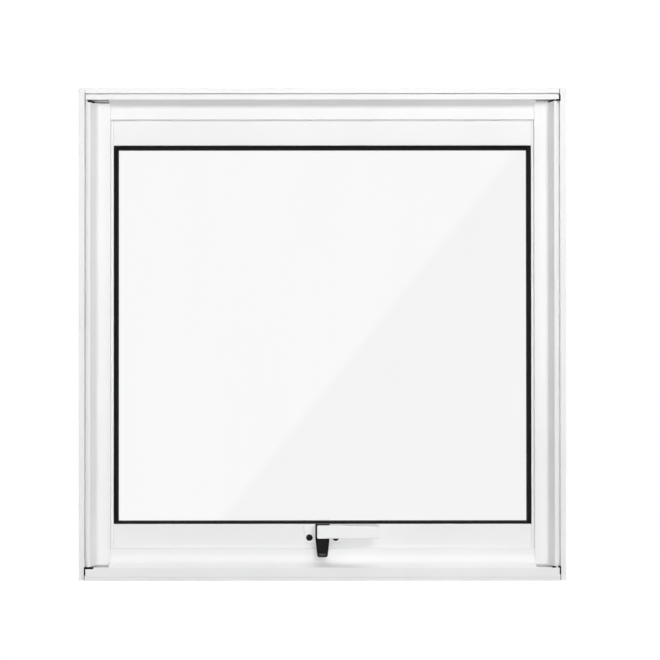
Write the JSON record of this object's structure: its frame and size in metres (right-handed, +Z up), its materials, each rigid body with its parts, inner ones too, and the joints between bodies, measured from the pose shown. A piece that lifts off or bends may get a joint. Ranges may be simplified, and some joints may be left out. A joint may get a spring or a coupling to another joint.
{
  "type": "top hung awning window",
  "caption": "White aluminium top hung awning window, closed, with one clear glass pane in black gaskets and a turning latch on the bottom rail.",
  "frame": {"origin": "middle of the sill's underside, the face the window stands on", "axes": "+Z up, +X to the right seen from the room, +Y outdoors through the glass; the room side with the latch faces -Y"},
  "size_m": [0.594, 0.0692, 0.6],
  "materials": {
    "white_frame": "satin",
    "clear_glass": "gloss",
    "black_rubber": "matte",
    "stay_steel": "brushed",
    "slider_plastic": "matte",
    "latch_white": "satin",
    "latch_black": "matte"
  },
  "bodies": {
    "window": {"frame_head": "white_frame", "frame_sill": "white_frame", "frame_jamb_left": "white_frame", "frame_jamb_right": "white_frame", "frame_seal_top": "black_rubber", "frame_seal_bottom": "black_rubber", "frame_seal_left": "black_rubber", "frame_seal_right": "black_rubber", "sash_top_rail": "white_frame", "sash_bottom_rail": "white_frame", "sash_stile_left": "white_frame", "sash_stile_right": "white_frame", "glass_pane": "clear_glass", "gasket_top": "black_rubber", "gasket_bottom": "black_rubber", "gasket_left": "black_rubber", "gasket_right": "black_rubber", "stay_track_left": "stay_steel", "stay_track_right": "stay_steel", "stay_slider_left": "slider_plastic", "stay_slider_right": "slider_plastic", "stay_arm_left": "stay_steel", "stay_arm_right": "stay_steel", "stay_sash_bar_left": "stay_steel", "stay_sash_bar_right": "stay_steel", "latch_base": "latch_white", "latch_spindle": "stay_steel"},
    "latch": {"latch_tongue": "latch_black", "latch_lever": "latch_white"}
  },
  "joints": [
    {"name": "latch_turn", "type": "hinge", "parent": "window", "child": "latch", "pos_m": [0, -0.0288, 0.0596], "axis": [0, -1, 0], "range_deg": [0, 90]}
  ]
}
